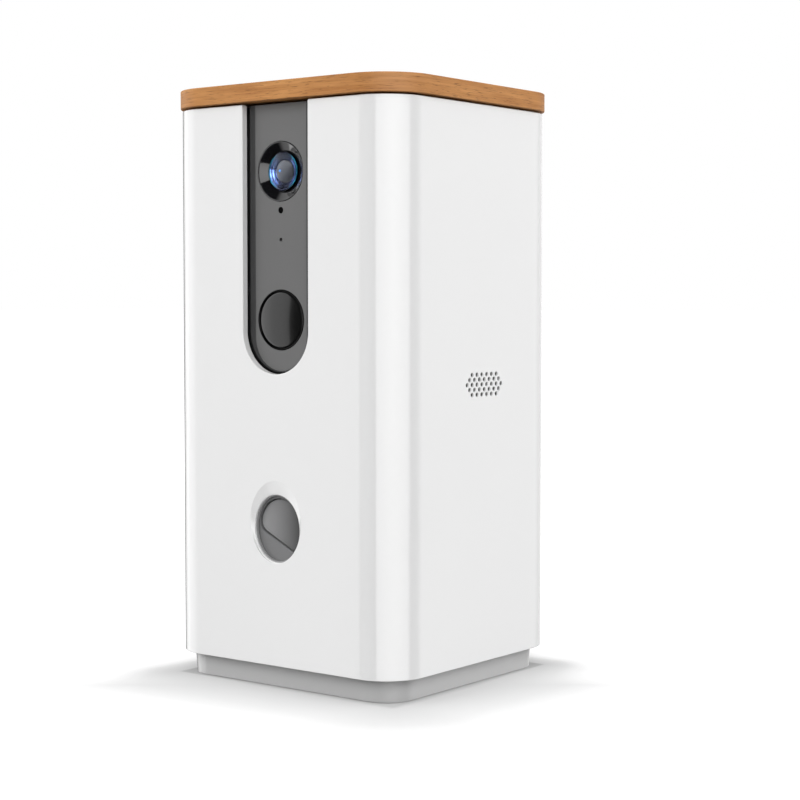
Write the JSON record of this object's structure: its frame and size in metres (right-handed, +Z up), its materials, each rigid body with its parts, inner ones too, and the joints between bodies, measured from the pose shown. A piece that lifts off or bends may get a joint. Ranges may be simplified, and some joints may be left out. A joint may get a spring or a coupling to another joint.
{
  "type": "treat tossing pet camera",
  "caption": "Tall white rounded-square pet camera with a lift-off wooden lid, a front camera strip with lens and button, and an oval outlet that tosses treats.",
  "frame": {"origin": "centre of the base at the level that the rubber feet stand on", "axes": "+X to the speaker side, -Y to the front with the camera strip and outlet, +Z up through the lid"},
  "size_m": [0.143, 0.1344, 0.28],
  "materials": {
    "shell_white": "satin",
    "plinth_white": "matte",
    "rubber_black": "matte",
    "steel": "satin",
    "bamboo": "satin",
    "inner_white": "matte",
    "silicone": "matte",
    "bin_clear": "satin",
    "nylon_white": "satin",
    "motor_metal": "satin",
    "strip_dark": "satin",
    "face_grey": "satin",
    "bezel_black": "gloss",
    "lens_glass": "polished",
    "barrel_black": "matte",
    "board_green": "satin",
    "sensor_black": "gloss",
    "button_grey": "satin",
    "ring_chrome": "polished",
    "switch_black": "matte",
    "foam_black": "matte",
    "driver_black": "satin",
    "chamber_grey": "satin",
    "paddle_grey": "satin",
    "brass": "satin",
    "shield_metal": "satin",
    "socket_metal": "satin"
  },
  "bodies": {
    "housing": {"outer_housing": "shell_white", "base_plinth": "plinth_white", "rubber_feet": "rubber_black", "base_screws": "steel", "treat_bin": "bin_clear", "feed_cover": "inner_white", "mechanism_deck": "inner_white", "deck_posts": "inner_white", "deck_screws": "steel", "wheel_axle": "steel", "feed_motor": "motor_metal", "drop_chute": "inner_white", "launch_chamber": "chamber_grey", "chamber_screws": "steel", "shaft_bushes": "brass", "toss_motor_mount": "steel", "mount_screws": "steel", "toss_motor": "motor_metal", "torsion_spring": "steel", "panel_carrier": "strip_dark", "carrier_screws": "steel", "face_panel": "face_grey", "lens_bezel": "bezel_black", "front_lens": "lens_glass", "lens_barrel": "barrel_black", "camera_board": "board_green", "light_sensor": "sensor_black", "microphone": "switch_black", "sensor_board": "board_green", "button_ring": "ring_chrome", "button_board": "board_green", "tact_switch": "switch_black", "speaker_gasket": "foam_black", "speaker_driver": "driver_black", "speaker_clamp": "inner_white", "speaker_screws": "steel", "main_board": "board_green", "board_screws": "steel", "radio_module": "shield_metal", "power_inlet": "socket_metal"},
    "lid": {"bamboo_lid": "bamboo", "lid_plug": "inner_white", "lid_seal": "silicone"},
    "button": {"touch_button": "button_grey"},
    "feed_wheel": {"feed_wheel": "nylon_white"},
    "feed_pinion": {"feed_pinion": "nylon_white"},
    "toss_arm": {"toss_arm": "paddle_grey", "arm_shaft": "steel", "sector_gear": "nylon_white", "spring_collar": "nylon_white"},
    "toss_pinion": {"toss_pinion": "nylon_white"}
  },
  "joints": [
    {"name": "lid_lift", "type": "slide", "parent": "housing", "child": "lid", "axis": [0, 0, 1], "range_m": [0, 0.04]},
    {"name": "button_press", "type": "slide", "parent": "housing", "child": "button", "axis": [0, 1, 0], "range_m": [0, 0.0008], "stiffness_N_per_m": 3000, "springref_m": -0.0002},
    {"name": "feed_wheel_turn", "type": "hinge", "parent": "housing", "child": "feed_wheel", "pos_m": [0, -0.016, 0.1359], "axis": [0, 0, 1], "continuous": true},
    {"name": "feed_pinion_turn", "type": "hinge", "parent": "housing", "child": "feed_pinion", "pos_m": [0, 0.0335, 0.1338], "axis": [0, 0, 1], "continuous": true},
    {"name": "toss_arm_swing", "type": "hinge", "parent": "housing", "child": "toss_arm", "pos_m": [0, -0.034, 0.113], "axis": [1, 0, 0], "range_deg": [0, 60], "stiffness_Nm_per_rad": 0.05, "springref_deg": -17.19},
    {"name": "toss_pinion_turn", "type": "hinge", "parent": "housing", "child": "toss_pinion", "pos_m": [0.0192, -0.01825, 0.08572], "axis": [1, 0, 0], "range_deg": [-150, 0]}
  ],
  "couplings": [
    {"joint": "feed_pinion_turn", "follows": "feed_wheel_turn", "ratio": -4.5},
    {"joint": "toss_pinion_turn", "follows": "toss_arm_swing", "ratio": -2.5}
  ]
}
